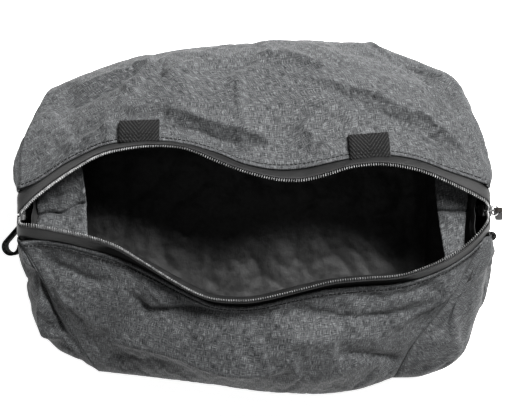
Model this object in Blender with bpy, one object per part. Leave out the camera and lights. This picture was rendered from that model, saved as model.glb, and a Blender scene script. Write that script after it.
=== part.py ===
"""Soft shoe bag with a wide zipped mouth, standing open and empty on its base.

+X runs along the zip, +Y towards the back panel, +Z up; the origin is on the floor under the middle.
Every outline is written in millimetres and turned into metres when its mesh is made.
"""

import math

import bmesh
import bpy
from mathutils import Matrix, Vector

MM = 0.001

# Cloth and zip sizes, in millimetres.
PANEL_THICKNESS = 1.2
LINING_DEPTH = 1.8  # how far the lining's outer side lies inside the bag's outer side
LINING_THICKNESS = 0.8
SEAM_GAP = 0.25  # what each panel gives up along a seam, so that neighbours never touch
BASE_GAP = 0.45
BASE_LINING_GAP = 1.6
TAPE_WIDTH = 13.5
TAPE_THICKNESS = 0.8
TAPE_GAP = 0.8  # between a panel's turned edge and the tape
TAPE_EDGE = 1.5  # from the zip's centre line to each tape's inner edge, where the zip is closed
COIL_GAP = 0.3
COIL_THICKNESS = 1.8
COIL_REACH = 0.8  # how far the coil stands past the tape's inner edge
COIL_COVER = 1.6  # how far the coil lies under the tape
NOTCH_HALF = 14.3  # half the slot in each end panel that the closed zip runs down
SEAM_HALF = 14.0

# The zip's two closed tails run down the end panels, leaning in towards the base.
ZIP_Y_LEFT = 1.0
ZIP_Y_RIGHT = 3.8
TAIL_TOP_X = 150.5
TAIL_TOP_Z = 88.0
TAIL_BOTTOM_Z = 46.8
TAIL_LEAN = math.radians(8.0)

# The slider, in its own frame: x outward through the tape, z up along the chain.
SLIDER_Z = 84.0
SLIDER_LENGTH = 8.4
BRIDGE_RISE = 2.7  # from the outer plate's top to the bridge's
LUG_HALF = 2.6  # half the length over the bridge's two lugs
LUG_LENGTH = 0.9
LUG_HALF_WIDTH = 0.8
SLIDER_HALF_WIDTH = 4.0
PLATE = 1.0
PLATE_GAP = 0.45
POST_WIDTH = 0.7
RING_RADIUS = 3.2
RING_WIRE = 0.5
RING_DROP = math.radians(41.0)  # below level, as the ring leans out from the bridge
PULL_DIRECTION = Vector((0.16, -0.20, -0.967)).normalized()
PULL_LENGTH = 25.0
PULL_HALF_WIDTH = 2.9
PULL_END_RADIUS = 2.4
PULL_THICKNESS = 3.0
PULL_HOLE = 1.6

# The zip's stops, which stand off behind the tapes: thickness, and half-width and half-length.
STOP_GAP = 0.3
TOP_STOP = (0.9, 1.3, 1.5)
TOP_STOP_Y = 2.9  # from the zip's centre line to each top stop's
TOP_STOP_Z = 80.0
TOP_STOP_STATION = 4  # the control point of a tape at which its coil begins
BOTTOM_STOP = (1.2, 3.2, 1.4)
BOTTOM_STOP_Z = 51.2

WEBBING_WIDTH = 25.4
WEBBING_THICKNESS = 2.6  # two layers, folded
LOOP_WIDTH = 20.0
LOOP_THICKNESS = 2.0
STAY_THICKNESS = 1.0
STAY_STEPS = 12
TAB_REACH = 1.6  # how many grid rows in from the lip a tab's direction is taken
TAB_START = (1.2, 1.4)  # a tab's hinge line: distance in from the lip, and height above the panel

# The box that every panel's thickness grows towards: neighbours share one direction at their seam.
CORE_LOW = Vector((-100.0, -62.0, 30.0))
CORE_HIGH = Vector((100.0, 62.0, 72.0))

# Four hips join the long panels to the end panels, each from the base to the zip.
HIPS = {
    "front_left": [(-112, -84, 0), (-102, -103, 45), (-116, -78, 66), (-133, -45, 80), (-146.5, -19, 89)],
    "front_right": [(88, -92, 0), (92, -107, 48), (104, -84, 68), (128, -51, 81), (147, -15.5, 89)],
    "back_left": [(-113, 80, 0), (-131, 86, 45), (-141, 68, 64), (-149, 45, 79), (-148, 20, 89)],
    "back_right": [(72, 93, 0), (75, 115, 46), (96, 98, 64), (131, 68, 80), (147.5, 23, 89)],
}

# The rows of each panel between its hips, from the base up to the shoulder.
FRONT_ROWS = [
    [(-60, -91, 0), (0, -95, 0), (50, -96, 0)],
    [(-64, -107, 45), (-31, -110, 45), (4, -114, 45), (41, -117, 45), (70, -114, 46)],
    [(-66, -96, 70), (-30, -103, 72), (4, -107, 74), (45, -107, 74), (80, -97, 72)],
    [(-80, -64, 88), (-40, -79, 93), (4, -86, 95), (50, -80, 94), (90, -69, 90)],
]
BACK_ROWS = [
    [(-60, 90, 0), (0, 94, 0), (50, 94, 0)],
    [(-112, 94, 45), (-88, 102, 45), (-57, 108.5, 45), (-25, 112.5, 45), (7, 114, 45), (39, 115, 45)],
    [(-92, 89, 71), (-50, 98, 75), (0, 104, 76), (50, 105, 75)],
    [(-95, 68, 88), (-50, 76, 92), (0, 76, 95), (50, 78, 95), (95, 76, 90)],
]

# Lip stations from left to right: coil edge x, y, then seam x, y, z. The tape's width sets the coil's height.
FRONT_LIP = [
    (-147.5, -4.8, -149.2, -13.0, 91.8),
    (-137, -6, -137, -15, 93.5),
    (-122, -9, -121, -16.8, 96.5),
    (-107, -12, -104, -21, 99),
    (-87, -18.5, -85, -26.5, 101),
    (-70, -28.5, -67, -34.5, 102.5),
    (-54, -38.5, -51, -43, 103.5),
    (-40, -46.5, -37, -50, 104),
    (-27, -51.5, -25, -55, 104.5),
    (-12, -53, -10, -56.5, 104.5),
    (4, -52, 4, -55.5, 104.5),
    (32, -45.5, 32, -48.5, 104),
    (50, -41, 50, -45.2, 103.5),
    (70, -39, 70, -43.5, 103),
    (90, -37.5, 90, -42.5, 102),
    (106, -33, 104, -39.5, 101),
    (122, -26, 122, -32.5, 98.5),
    (137, -16, 138, -22.5, 94.5),
    (147.5, -4.5, 149.5, -10.2, 91.8),
]
BACK_LIP = [
    (-147.5, 2.5, -149.2, 15.0, 91.8),
    (-138, 12, -136, 22.5, 94),
    (-124, 22.5, -120, 33, 97.5),
    (-111, 31, -106, 40, 99.5),
    (-98, 38, -95, 44.5, 101),
    (-84, 42, -82, 46.8, 102.5),
    (-64, 44.5, -62, 47.5, 104),
    (-43, 43, -42, 45.3, 105),
    (-23, 35, -22, 39.5, 106),
    (-10, 30, -8, 33.5, 106),
    (5, 25.5, 7, 30, 106),
    (18, 23, 20, 29, 106),
    (32, 23, 33, 30.2, 106),
    (46, 26.5, 46, 33, 105.8),
    (60, 31, 60, 36, 105.3),
    (76, 33, 76, 38, 104.5),
    (90, 32, 90, 38, 103.5),
    (106, 28.5, 107, 34.5, 102),
    (122, 22, 123, 28.5, 99.5),
    (142, 12.5, 142, 22.3, 94),
    (148.5, 8, 149.5, 17.8, 91.8),
]

ROW_STEPS = 2  # grid rows between two neighbouring outline rows
LONG_COLUMNS = 22
END_COLUMNS = (7, 2, 7)  # front wing, under the zip's slot, back wing
TAPE_STEPS = 3  # sections between two lip stations

COLOURS = {
    "heather_fabric": ((0.105, 0.105, 0.11, 1), 0.85, 0.0),
    "black_lining": ((0.012, 0.012, 0.013, 1), 0.55, 0.0),
    "zip_tape": ((0.05, 0.05, 0.052, 1), 0.6, 0.0),
    "zip_coil": ((0.012, 0.012, 0.013, 1), 0.4, 0.0),
    "webbing": ((0.014, 0.014, 0.015, 1), 0.8, 0.0),
    "slider_metal": ((0.02, 0.02, 0.022, 1), 0.35, 1.0),
    "ring_metal": ((0.6, 0.6, 0.6, 1), 0.25, 1.0),
    "pull_rubber": ((0.035, 0.03, 0.026, 1), 0.6, 0.0),
}


def material(slot):
    """The slot's Principled material, made once."""
    found = bpy.data.materials.get(slot)
    if found:
        return found
    made = bpy.data.materials.new(slot)
    made.use_nodes = True
    shader = made.node_tree.nodes["Principled BSDF"]
    colour, roughness, metallic = COLOURS[slot]
    shader.inputs["Base Color"].default_value = colour
    shader.inputs["Roughness"].default_value = roughness
    shader.inputs["Metallic"].default_value = metallic
    return made


def make_object(name, vertices, faces, slot, smooth_angle=35.0):
    """A closed body from vertices in millimetres, with its faces turned outward."""
    shape = bmesh.new()
    placed = [shape.verts.new(Vector(v) * MM) for v in vertices]
    for face in faces:
        shape.faces.new([placed[i] for i in face])
    bmesh.ops.recalc_face_normals(shape, faces=shape.faces)
    mesh = bpy.data.meshes.new(name)
    shape.to_mesh(mesh)
    shape.free()
    mesh.shade_smooth()
    mesh.set_sharp_from_angle(angle=math.radians(smooth_angle))
    mesh.materials.append(material(slot))
    made = bpy.data.objects.new(name, mesh)
    bpy.context.scene.collection.objects.link(made)
    return made


def spline_point(points, t):
    """A point on the smooth curve through points, where t counts points from 0."""
    last = len(points) - 1
    k = min(int(t), last - 1)
    f = t - k
    p1, p2 = points[k], points[k + 1]
    p0 = points[k - 1] if k else p1 * 2 - p2
    p3 = points[k + 2] if k + 2 <= last else p2 * 2 - p1
    return 0.5 * (
        p1 * 2
        + (p2 - p0) * f
        + (p0 * 2 - p1 * 5 + p2 * 4 - p3) * f * f
        + (p1 * 3 - p0 - p2 * 3 + p3) * f**3
    )


def even_samples(points, start, end, count):
    """count + 1 points from start to end along the curve, spaced evenly by length."""
    fine = [start + (end - start) * i / 200 for i in range(201)]
    places = [spline_point(points, t) for t in fine]
    along = [0.0]
    for a, b in zip(places, places[1:]):
        along.append(along[-1] + (b - a).length)
    samples = []
    k = 0
    for i in range(count + 1):
        want = along[-1] * i / count
        while k < len(along) - 2 and along[k + 1] < want:
            k += 1
        f = (want - along[k]) / (along[k + 1] - along[k])
        samples.append(places[k].lerp(places[k + 1], f))
    return samples


def sample_row(points, marks, counts):
    """Points along one outline row, with a column pinned at each marked control point."""
    row = []
    for start, end, count in zip(marks, marks[1:], counts):
        row += even_samples(points, start, end, count)[: count if end != marks[-1] else count + 1]
    return row


def vectors(points):
    return [Vector(p) for p in points]


def sample_rows(rows, pinned, counts):
    """Every outline row sampled into the same number of columns."""
    sampled = []
    for row in rows:
        marks = [0] + [row.index(p) for p in row if p in pinned] + [len(row) - 1]
        sampled.append(sample_row(row, marks, counts))
    return sampled


def panel_grid(rows, pinned, counts):
    """Grid of points: outline rows sampled into columns, then a smooth curve up each column."""
    sampled = sample_rows(rows, pinned, counts)
    grid = []
    for step in range((len(rows) - 1) * ROW_STEPS + 1):
        level = step / ROW_STEPS
        grid.append([spline_point([row[i] for row in sampled], level) for i in range(len(sampled[0]))])
    return grid


def inward(point):
    """The shared direction from a point on the bag's outside towards its core."""
    nearest = Vector(max(lo, min(hi, v)) for v, lo, hi in zip(point, CORE_LOW, CORE_HIGH))
    return (nearest - point).normalized()


def trim_sides(grid, gap):
    """Pulls the first and last columns in by gap, to leave a seam's clearance."""
    trimmed = [list(row) for row in grid]
    for row in trimmed:
        row[0] = row[0] + (row[1] - row[0]).normalized() * gap
        row[-1] = row[-1] + (row[-2] - row[-1]).normalized() * gap
    return trimmed


def everywhere(row, column):
    """Keeps every face of a panel's grid."""
    return True


def beside_slot(row, column):
    """Leaves the zip's slot in an end panel open, from the first outline row up."""
    first, wide, _ = END_COLUMNS
    return row < ROW_STEPS or not first <= column < first + wide


def cloth_shell(name, grid, slot, near, far, keep=everywhere):
    """A closed cloth panel over a grid: its two sides lie near and far inside the grid."""
    height, width = len(grid), len(grid[0])
    outer = [p + inward(p) * near for row in grid for p in row]
    inner = [p + inward(p) * far for row in grid for p in row]
    total = height * width
    faces = []
    borders = {}
    for j in range(height - 1):
        for i in range(width - 1):
            if not keep(j, i):
                continue
            a = j * width + i
            corners = [a, a + 1, a + 1 + width, a + width]
            faces += [(corners[0], corners[1], corners[2]), (corners[0], corners[2], corners[3])]
            faces += [
                (corners[2] + total, corners[1] + total, corners[0] + total),
                (corners[3] + total, corners[2] + total, corners[0] + total),
            ]
            for p, q in zip(corners, corners[1:] + corners[:1]):
                key = (min(p, q), max(p, q))
                borders[key] = None if key in borders else (p, q)
    for edge in borders.values():
        if edge:
            p, q = edge
            faces += [(q, p, p + total), (q, p + total, q + total)]
    used = sorted({i for face in faces for i in face})
    renumbered = {old: new for new, old in enumerate(used)}
    points = outer + inner
    return make_object(
        name,
        [points[i] for i in used],
        [tuple(renumbered[i] for i in face) for face in faces],
        slot,
    )


def sweep(name, sections, slot, closed=False, smooth_angle=35.0):
    """A solid through cross-sections with the same number of points, capped unless it closes on itself."""
    size = len(sections[0])
    vertices = [p for section in sections for p in section]
    faces = []
    for k in range(len(sections) if closed else len(sections) - 1):
        here, there = k * size, (k + 1) % len(sections) * size
        for i in range(size):
            j = (i + 1) % size
            faces.append((here + i, here + j, there + j, there + i))
    if not closed:
        faces.append(tuple(range(size)))
        faces.append(tuple(range(len(vertices) - size, len(vertices))))
    return make_object(name, vertices, faces, slot, smooth_angle)


def place(made, point, lean=0.0):
    """Moves an object built round its own origin to a place in millimetres, leaning about Y."""
    made.location = Vector(point) * MM
    made.rotation_euler = (0.0, lean, 0.0)
    return made


def box_sections(low, high):
    """Two sections of a box, for sweep."""
    return [
        [(x, low[1], low[2]), (x, high[1], low[2]), (x, high[1], high[2]), (x, low[1], high[2])]
        for x in (low[0], high[0])
    ]


def solid_box(name, low, high, slot):
    return sweep(name, box_sections(low, high), slot)


def combine(target, tool, operation):
    """Adds or cuts tool on target with an exact Boolean, and hides the tool."""
    modifier = target.modifiers.new(tool.name, "BOOLEAN")
    modifier.operation = operation
    modifier.solver = "EXACT"
    modifier.object = tool
    tool.hide_render = True
    tool.display_type = "WIRE"
    tool.hide_set(False)


def tail_x(z):
    """How far out the closed zip's plane is at height z."""
    return TAIL_TOP_X - math.tan(TAIL_LEAN) * (TAIL_TOP_Z - z)


def end_rows(side, front_hip, back_hip, zip_y, wings):
    """The rows of an end panel from the front hip to the back hip, with the zip's slot pinned."""
    slot_places = [(-119.5, 0), (-145.5, 46), (-149.3, 70), (-151.3, 83), (-150.6, 89)]
    rows, pinned = [], []
    for level, (x, z) in enumerate(slot_places):
        edges = [Vector((-side * x, zip_y + reach, z)) for reach in (-NOTCH_HALF, NOTCH_HALF)]
        front_wing, back_wing = wings[level]
        rows.append(
            [Vector(HIPS[front_hip][level])]
            + vectors(front_wing)
            + edges
            + vectors(back_wing)
            + [Vector(HIPS[back_hip][level])]
        )
        pinned += edges
    return rows, pinned


def long_rows(name, rows, lip):
    """The rows of the front or back panel from its left hip to its right hip."""
    left, right = HIPS[name + "_left"], HIPS[name + "_right"]
    seam = [(x, y, z) for _, _, x, y, z in lip[1:-1]]
    return [
        vectors([left[level]] + row + [right[level]])
        for level, row in enumerate(rows + [seam])
    ]


LEFT_WINGS = [
    ([(-118, -48, 0)], [(-118, 48, 0)]),
    (
        [(-114, -95, 45), (-130, -86, 45), (-141, -68, 45), (-146, -40, 45)],
        [(-146, 40, 46), (-141, 64, 45)],
    ),
    ([(-131, -72, 67), (-145, -52, 68), (-150.5, -30, 69)], [(-152, 34, 70), (-148, 52, 67)]),
    ([(-143, -33, 82), (-149.5, -22, 83)], [(-153.5, 24, 83), (-153, 34, 81)]),
    ([(-149, -16.5, 89)], [(-150, 18, 89)]),
]
RIGHT_WINGS = [
    ([(108, -84, 0), (117, -50, 0)], [(117, 52, 0), (104, 84, 0)]),
    (
        [(112, -106, 45), (130, -98, 45), (140, -83, 45), (147, -58, 45), (148, -30, 45)],
        [(145, 44, 45), (141, 66, 45), (134, 88, 45), (114, 101, 45)],
    ),
    (
        [(122, -86, 68), (139, -72, 67), (149.5, -50, 68), (153, -28, 69)],
        [(151, 38, 69), (146.5, 56, 67), (138, 77, 65), (119, 90, 64)],
    ),
    ([(139, -48, 82), (149, -33, 82), (153.5, -20, 83)], [(153, 29, 83), (149.5, 45, 82), (142, 58, 81)]),
    ([(150, -13, 89)], [(150, 20.5, 89)]),
]


def build_panels():
    """The five outer panels and the lining that follows each of them inside."""
    front = long_rows("front", FRONT_ROWS, FRONT_LIP)
    back = long_rows("back", BACK_ROWS, BACK_LIP)
    left, left_pins = end_rows(-1, "front_left", "back_left", ZIP_Y_LEFT, LEFT_WINGS)
    right, right_pins = end_rows(1, "front_right", "back_right", ZIP_Y_RIGHT, RIGHT_WINGS)
    grids = {
        "front": panel_grid(front, [], (LONG_COLUMNS,)),
        "back": panel_grid(back, [], (LONG_COLUMNS,)),
        "left_end": panel_grid(left, left_pins, END_COLUMNS),
        "right_end": panel_grid(right, right_pins, END_COLUMNS),
    }
    for name, grid in grids.items():
        keep = beside_slot if name.endswith("end") else everywhere
        edged = trim_sides(grid, SEAM_GAP)
        cloth_shell(name + "_panel", edged, "heather_fabric", 0.0, PANEL_THICKNESS, keep)
        lined = trim_sides(grid, SEAM_GAP * 2)
        far = LINING_DEPTH + LINING_THICKNESS
        cloth_shell(name + "_lining", lined, "black_lining", LINING_DEPTH, far, keep)
    build_base(*(grids[name][0] for name in ("front", "back", "left_end", "right_end")))
    return grids


def build_base(low, high, west, east):
    """The flat base between the four walls' lowest edges, and its lining."""
    grid = []
    for j, _ in enumerate(west):
        v = j / (len(west) - 1)
        row = []
        for i in range(LONG_COLUMNS + 1):
            u = i / LONG_COLUMNS
            across = low[i].lerp(high[i], v) + west[j].lerp(east[j], u)
            corners = low[0].lerp(low[-1], u).lerp(high[0].lerp(high[-1], u), v)
            row.append(across - corners)
        grid.append(row)
    for name, slot, near, far, gap in (
        ("base_panel", "heather_fabric", 0.0, PANEL_THICKNESS, BASE_GAP),
        ("base_lining", "black_lining", LINING_DEPTH, LINING_DEPTH + LINING_THICKNESS, BASE_LINING_GAP),
    ):
        edged = trim_sides(grid, gap)
        turned = trim_sides([list(column) for column in zip(*edged)], gap)
        cloth_shell(name, [list(column) for column in zip(*turned)], slot, near, far)


def tape_path(lip, zip_y, side):
    """Coil-edge and seam-edge control points of one tape, up the left tail, along the lip, down the right."""
    coil, seam = [], []
    for z in (TAIL_BOTTOM_Z, 64.0, 80.0, TAIL_TOP_Z - 3.0, TAIL_TOP_Z):
        coil.append(Vector((-tail_x(z), zip_y[0] + side * TAPE_EDGE, z)))
        seam.append(Vector((-tail_x(z), zip_y[0] + side * SEAM_HALF, z - 2.0 * (z == TAIL_TOP_Z))))
    for coil_x, coil_y, seam_x, seam_y, seam_z in lip:
        level = math.hypot(coil_x - seam_x, coil_y - seam_y)
        rise = math.sqrt(TAPE_WIDTH**2 - level**2)
        coil.append(Vector((coil_x, coil_y, seam_z + rise)))
        seam.append(Vector((seam_x, seam_y, seam_z)))
    for z in (TAIL_TOP_Z + 1.5, TAIL_TOP_Z - 2.0, 80.0, 64.0, TAIL_BOTTOM_Z):
        top = z > TAIL_TOP_Z
        coil.append(Vector((tail_x(z), zip_y[1] + side * TAPE_EDGE, z)))
        seam.append(Vector((tail_x(z), zip_y[1] + side * SEAM_HALF, z - 3.0 * top)))
    return coil, seam


def tape_frames(coil, seam, side):
    """For each station: seam edge, coil edge, the direction towards the coil, and the outward normal."""
    frames = []
    count = (len(coil) - 1) * TAPE_STEPS
    for k in range(count + 1):
        t = k / TAPE_STEPS
        ahead, behind = min(t + 0.05, len(coil) - 1), max(t - 0.05, 0)
        edge, root = spline_point(coil, t), spline_point(seam, t)
        middle_ahead = spline_point(coil, ahead) + spline_point(seam, ahead)
        middle_behind = spline_point(coil, behind) + spline_point(seam, behind)
        towards = (edge - root).normalized()
        normal = (middle_ahead - middle_behind).cross(towards).normalized() * -side
        frames.append((root, edge, towards, normal))
    return frames


def build_zip():
    """Two tapes with their coils, the stops, the slider, its ring and its pull."""
    zip_y = (ZIP_Y_LEFT, ZIP_Y_RIGHT)
    for name, lip, side in (("front", FRONT_LIP, -1), ("back", BACK_LIP, 1)):
        frames = tape_frames(*tape_path(lip, zip_y, side), side)
        half = TAPE_THICKNESS / 2
        tape, coil = [], []
        for root, edge, towards, normal in frames:
            start = root + towards * TAPE_GAP
            rise = normal * half
            tape.append([start + rise, edge + rise, edge - rise, start - rise])
            near = half + COIL_GAP
            far = near + COIL_THICKNESS
            low, high = edge - towards * COIL_COVER, edge + towards * COIL_REACH
            coil.append([low - normal * near, high - normal * near, high - normal * far, low - normal * far])
        sweep(name + "_zip_tape", tape, "zip_tape")
        above_top_stop = TOP_STOP_STATION * TAPE_STEPS
        sweep(name + "_zip_coil", coil[above_top_stop:-1], "zip_coil")
    build_stops()
    build_slider()


def tail_frame(side, zip_y, z):
    """Place and lean of something on a zip tail at height z; side is -1 left, 1 right."""
    return Vector((side * tail_x(z), zip_y, z)), side * TAIL_LEAN


def build_stops():
    """Two top stops at the left end and one bottom stop at the right end."""
    near = TAPE_THICKNESS / 2 + STOP_GAP
    thick, wide, half = TOP_STOP
    for name, side in (("front", -1), ("back", 1)):
        low = Vector((-near - thick, side * TOP_STOP_Y - wide, -half))
        high = Vector((-near, side * TOP_STOP_Y + wide, half))
        stop = solid_box(name + "_top_stop", low, high, "slider_metal")
        point, lean = tail_frame(-1, ZIP_Y_LEFT, TOP_STOP_Z)
        place(stop, point, lean)
    thick, wide, half = BOTTOM_STOP
    stop = solid_box("bottom_stop", (near, -wide, -half), (near + thick, wide, half), "slider_metal")
    point, lean = tail_frame(1, ZIP_Y_RIGHT, BOTTOM_STOP_Z)
    place(stop, point, lean)


def build_slider():
    """The slider on the closed tail, with its plates, post, side rims and bridge as one casting."""
    half = SLIDER_LENGTH / 2
    wide = SLIDER_HALF_WIDTH
    outer = TAPE_THICKNESS / 2 + PLATE_GAP
    inner = -(TAPE_THICKNESS / 2 + COIL_GAP + COIL_THICKNESS + PLATE_GAP)
    point, lean = tail_frame(1, ZIP_Y_RIGHT, SLIDER_Z)
    top = outer + PLATE
    bridge_top = top + BRIDGE_RISE
    lug = LUG_HALF_WIDTH
    bar_end = LUG_HALF - 0.1
    slider = place(
        solid_box("slider_body", (outer, -wide, -half), (top, wide, half), "slider_metal"), point, lean
    )
    pieces = [
        ("inner_plate", (inner - PLATE, -wide, -half), (inner, wide, half)),
        ("post", (inner - 0.5, -POST_WIDTH / 2, -1.0), (outer + 0.5, POST_WIDTH / 2, 1.6)),
        ("front_rim", (inner - 0.5, -wide + 0.05, -half + 0.1), (inner + 1.9, -wide + 0.5, half - 0.1)),
        ("back_rim", (inner - 0.5, wide - 0.5, -half + 0.1), (inner + 1.9, wide - 0.05, half - 0.1)),
        ("lower_lug", (top - 0.5, -lug, -LUG_HALF), (bridge_top, lug, LUG_LENGTH - LUG_HALF)),
        ("upper_lug", (top - 0.5, -lug, LUG_HALF - LUG_LENGTH), (bridge_top, lug, LUG_HALF)),
        ("bridge_bar", (bridge_top - 0.9, 0.05 - lug, -bar_end), (bridge_top - 0.05, lug - 0.05, bar_end)),
    ]
    for name, low, high in pieces:
        tool = place(solid_box("slider_" + name, low, high, "slider_metal"), point, lean)
        combine(slider, tool, "UNION")
    build_pull(point + Matrix.Rotation(lean, 3, "Y") @ Vector((top + 0.9, 0, 0)))


def ring_centre(eye):
    """The ring's centre, out and down from the eye of the bridge that it hangs in."""
    return eye + Vector((math.cos(RING_DROP), 0, -math.sin(RING_DROP))) * RING_RADIUS


def build_pull(eye):
    """The split ring in the bridge, and the moulded pull that hangs from the ring."""
    bpy.ops.mesh.primitive_torus_add(
        major_radius=RING_RADIUS * MM,
        minor_radius=RING_WIRE * MM,
        major_segments=24,
        minor_segments=8,
        rotation=(0, math.pi / 2 - (math.pi / 2 - RING_DROP), 0),
    )
    ring = bpy.context.object
    ring.name = "pull_ring"
    ring.data.shade_smooth()
    ring.data.materials.append(material("ring_metal"))
    centre = ring_centre(eye)
    ring.location = centre * MM
    hinge = eye + (centre - eye) * 2
    side = (Vector((0, 1, 0)) - PULL_DIRECTION * PULL_DIRECTION.y).normalized()
    across = PULL_DIRECTION.cross(side).normalized()
    outline = []
    for k in range(9):
        angle = math.pi * k / 8
        outline.append((-math.sin(angle) * PULL_HALF_WIDTH, math.cos(angle) * PULL_HALF_WIDTH))
    straight = PULL_LENGTH - PULL_END_RADIUS
    for k in range(9):
        angle = math.pi * k / 8
        outline.append((straight + math.sin(angle) * PULL_END_RADIUS, -math.cos(angle) * PULL_END_RADIUS))
    sections = [
        [hinge + PULL_DIRECTION * a + across * b + side * s for a, b in outline]
        for s in (-PULL_THICKNESS / 2, PULL_THICKNESS / 2)
    ]
    pull = sweep("pull_tab", sections, "pull_rubber")
    hole = []
    for s in (-PULL_THICKNESS, PULL_THICKNESS):
        hole.append([])
        for k in range(16):
            angle = math.tau * k / 16
            turn = PULL_DIRECTION * math.cos(angle) + across * math.sin(angle)
            hole[-1].append(hinge + turn * PULL_HOLE + side * s)
    combine(pull, sweep("pull_hole", hole, "pull_rubber"), "DIFFERENCE")


def egg_outline(root, tip, root_radius, tip_radius, offset, arc=8):
    """A closed path round two circles of different size and their tangents, pushed out by offset."""
    reach = tip - root
    lean = math.acos((root_radius - tip_radius) / reach.length)
    forward = math.atan2(reach.y, reach.x)
    path = []
    for k in range(arc + 1):
        angle = forward + lean + (math.tau - 2 * lean) * k / arc
        path.append(root + Vector((math.cos(angle), math.sin(angle), 0)) * (root_radius + offset))
    for k in range(arc + 1):
        angle = forward - lean + 2 * lean * k / arc
        path.append(tip + Vector((math.cos(angle), math.sin(angle), 0)) * (tip_radius + offset))
    return path


def build_loop(name, root, tip, root_radius, tip_radius):
    """A grab loop of upright webbing, sewn at its root; root is at the webbing's mid height."""
    half = LOOP_THICKNESS / 2
    outer = egg_outline(root, tip, root_radius, tip_radius, half)
    inner = egg_outline(root, tip, root_radius, tip_radius, -half)
    rise = Vector((0, 0, LOOP_WIDTH / 2))
    sections = [[a - rise, a + rise, b + rise, b - rise] for a, b in zip(outer, inner)]
    sweep(name, sections, "webbing", closed=True)


def surface_at(grid, x, level):
    """The point of a long panel's grid at a given x, on the grid row nearest below level."""
    k = min(int(level), len(grid) - 2)
    f = level - k
    row = [a.lerp(b, f) for a, b in zip(grid[k], grid[k + 1])]
    for a, b in zip(row, row[1:]):
        if a.x <= x <= b.x:
            return a.lerp(b, (x - a.x) / (b.x - a.x))
    return row[-1]


def build_webbing_tab(name, grid, middle, length):
    """A folded webbing tab, sewn along the back lip and lying on the back panel."""
    seam = len(grid) - 1
    near = [surface_at(grid, middle + reach * WEBBING_WIDTH / 2, seam) for reach in (-1, 1)]
    far = [surface_at(grid, middle + reach * WEBBING_WIDTH / 2, seam - TAB_REACH) for reach in (-1, 1)]
    run = ((far[0] + far[1]) - (near[0] + near[1])).normalized()
    along = (near[1] - near[0]).normalized()
    up = along.cross(run).normalized()
    start = (near[0] + near[1]) / 2 + run * TAB_START[0] + up * TAB_START[1]
    half = WEBBING_WIDTH / 2
    profile = []
    for k in range(5):
        angle = math.pi * k / 4
        fold = WEBBING_THICKNESS / 2
        profile.append((length + fold * math.sin(angle), fold - fold * math.cos(angle)))
    profile += [(0.0, WEBBING_THICKNESS), (0.0, 0.0)]
    sections = [[start + along * w + run * a + up * b for a, b in profile] for w in (-half, half)]
    sweep(name, sections, "webbing")


def build_stay(name, x_low, x_high, line):
    """A fabric band across one end of the mouth, from lip to lip, which limits how far it opens."""
    points = vectors(line)
    sections = []
    last = len(points) - 1
    for k in range(STAY_STEPS + 1):
        here = spline_point(points, last * k / STAY_STEPS)
        ahead = spline_point(points, min(last * (k + 0.5) / STAY_STEPS, last))
        behind = spline_point(points, max(last * (k - 0.5) / STAY_STEPS, 0))
        up = Vector((1, 0, 0)).cross(ahead - behind).normalized() * STAY_THICKNESS / 2
        low = Vector((x_low - here.x, 0, 0))
        high = Vector((x_high - here.x, 0, 0))
        sections.append([here + low - up, here + high - up, here + high + up, here + low + up])
    sweep(name, sections, "heather_fabric")


def build():
    for old in list(bpy.data.objects):
        bpy.data.objects.remove(old, do_unlink=True)
    grids = build_panels()
    build_zip()
    build_stay("left_mouth_stay", -136, -108, [(0, -12.5, 92), (0, -2, 87), (0, 8, 85), (0, 22, 92.5)])
    build_stay("right_mouth_stay", 117, 135, [(0, -20, 91), (0, -8, 86), (0, 3, 84.5), (0, 17, 91)])
    build_webbing_tab("left_webbing_tab", grids["back"], -72.0, 12.0)
    build_webbing_tab("right_webbing_tab", grids["back"], 73.5, 13.0)
    build_loop("left_grab_loop", Vector((-151.2, -7.0, 57.0)), Vector((-158.0, -19.8, 57.0)), 1.7, 5.0)
    build_loop("right_grab_loop", Vector((152.4, -13.6, 54.0)), Vector((155.6, -13.0, 54.0)), 1.7, 2.0)


build()
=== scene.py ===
"""Looks of the open shoe bag, built round its CAD frame.

It has sewn panels with folds and wrinkles, a lining, a zip and webbing. Outlines are in millimetres, in the
frame's axes; every mesh is turned into metres when it is made.
"""

import math

import bpy
import numpy as np
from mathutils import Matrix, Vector, noise


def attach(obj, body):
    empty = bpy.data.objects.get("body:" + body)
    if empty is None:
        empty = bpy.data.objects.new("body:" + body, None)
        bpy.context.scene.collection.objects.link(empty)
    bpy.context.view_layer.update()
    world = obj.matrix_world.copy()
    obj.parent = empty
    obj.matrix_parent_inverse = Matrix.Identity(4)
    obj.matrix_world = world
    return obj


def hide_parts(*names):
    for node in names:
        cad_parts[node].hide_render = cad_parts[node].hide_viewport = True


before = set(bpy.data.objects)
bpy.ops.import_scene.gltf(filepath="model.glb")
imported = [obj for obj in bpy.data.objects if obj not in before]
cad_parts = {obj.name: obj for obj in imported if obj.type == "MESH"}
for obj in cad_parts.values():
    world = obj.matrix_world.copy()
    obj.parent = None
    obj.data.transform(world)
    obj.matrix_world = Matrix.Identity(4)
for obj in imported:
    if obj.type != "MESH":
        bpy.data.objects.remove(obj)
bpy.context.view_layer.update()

MM = 0.001
UP = np.array((0.0, 0.0, 1.0))

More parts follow.
